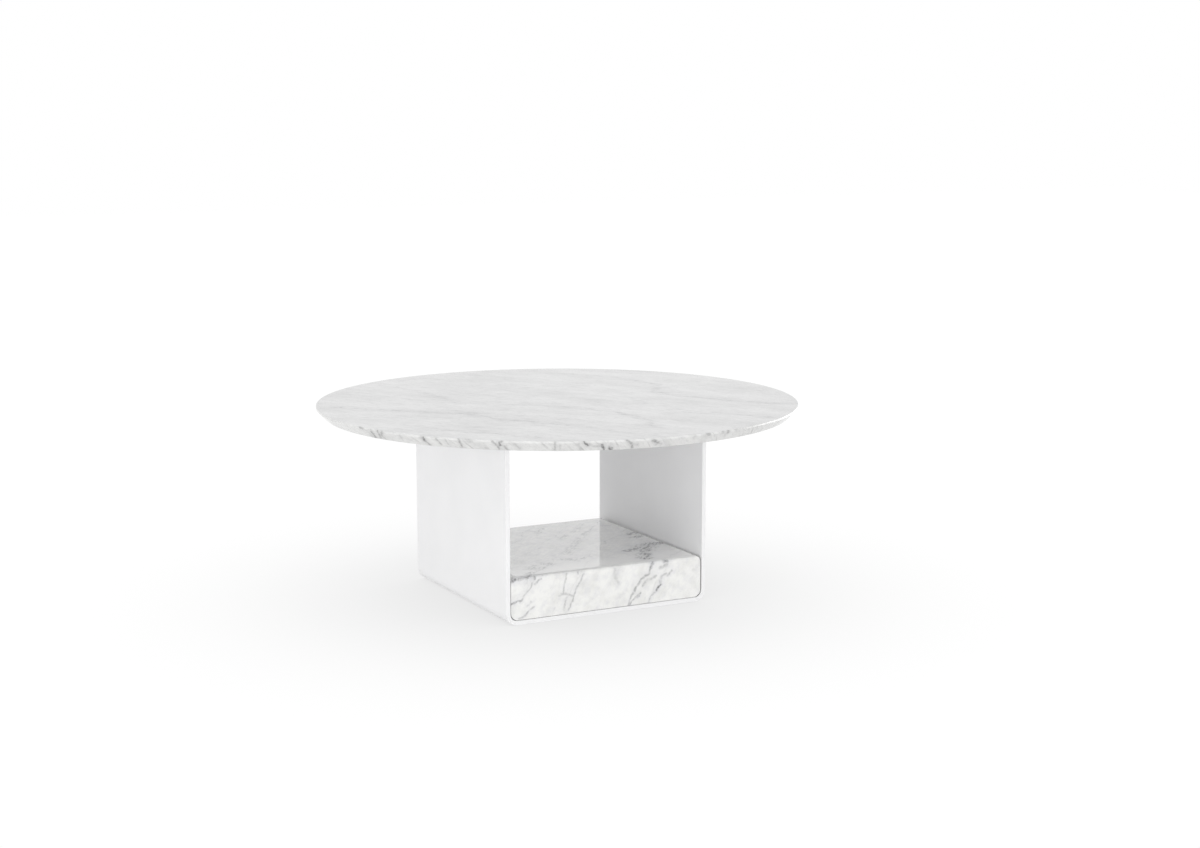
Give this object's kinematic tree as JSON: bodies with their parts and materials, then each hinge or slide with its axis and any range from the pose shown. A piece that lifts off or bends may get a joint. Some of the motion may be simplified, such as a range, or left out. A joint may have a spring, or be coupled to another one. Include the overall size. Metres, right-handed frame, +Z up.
{
  "type": "round cocktail table",
  "caption": "Round marble cocktail table: a bevelled stone disc on a U-shaped base of bent white steel plate, open front to back, with a marble ballast block lying in the U.",
  "frame": {"origin": "on the floor, at the centre of the round top's outline", "axes": "+Z up; X runs across the two walls of the base; the open front, where the block is flush, faces -Y"},
  "size_m": [1.0669, 1.067, 0.432],
  "materials": {
    "top_marble": "satin",
    "block_marble": "polished",
    "white_powder_coat": "satin",
    "insert_brass": "satin",
    "zinc_plated_steel": "satin",
    "clear_silicone": "satin",
    "grey_nylon": "matte"
  },
  "bodies": {
    "root": {"marble_top": "top_marble", "marble_block": "block_marble", "steel_base": "white_powder_coat", "mounting_plate": "white_powder_coat", "mounting_welds": "white_powder_coat", "threaded_inserts": "insert_brass", "top_screws": "zinc_plated_steel", "top_washers": "zinc_plated_steel", "top_pad_front_left": "clear_silicone", "top_pad_front_right": "clear_silicone", "top_pad_back_left": "clear_silicone", "top_pad_back_right": "clear_silicone", "block_pad_front_left": "clear_silicone", "block_pad_front_right": "clear_silicone", "block_pad_back_left": "clear_silicone", "block_pad_back_right": "clear_silicone", "side_pad_front_left": "clear_silicone", "side_pad_front_right": "clear_silicone", "side_pad_back_left": "clear_silicone", "side_pad_back_right": "clear_silicone", "floor_glide_front_left": "grey_nylon", "floor_glide_front_right": "grey_nylon", "floor_glide_back_left": "grey_nylon", "floor_glide_back_right": "grey_nylon"}
  },
  "joints": []
}
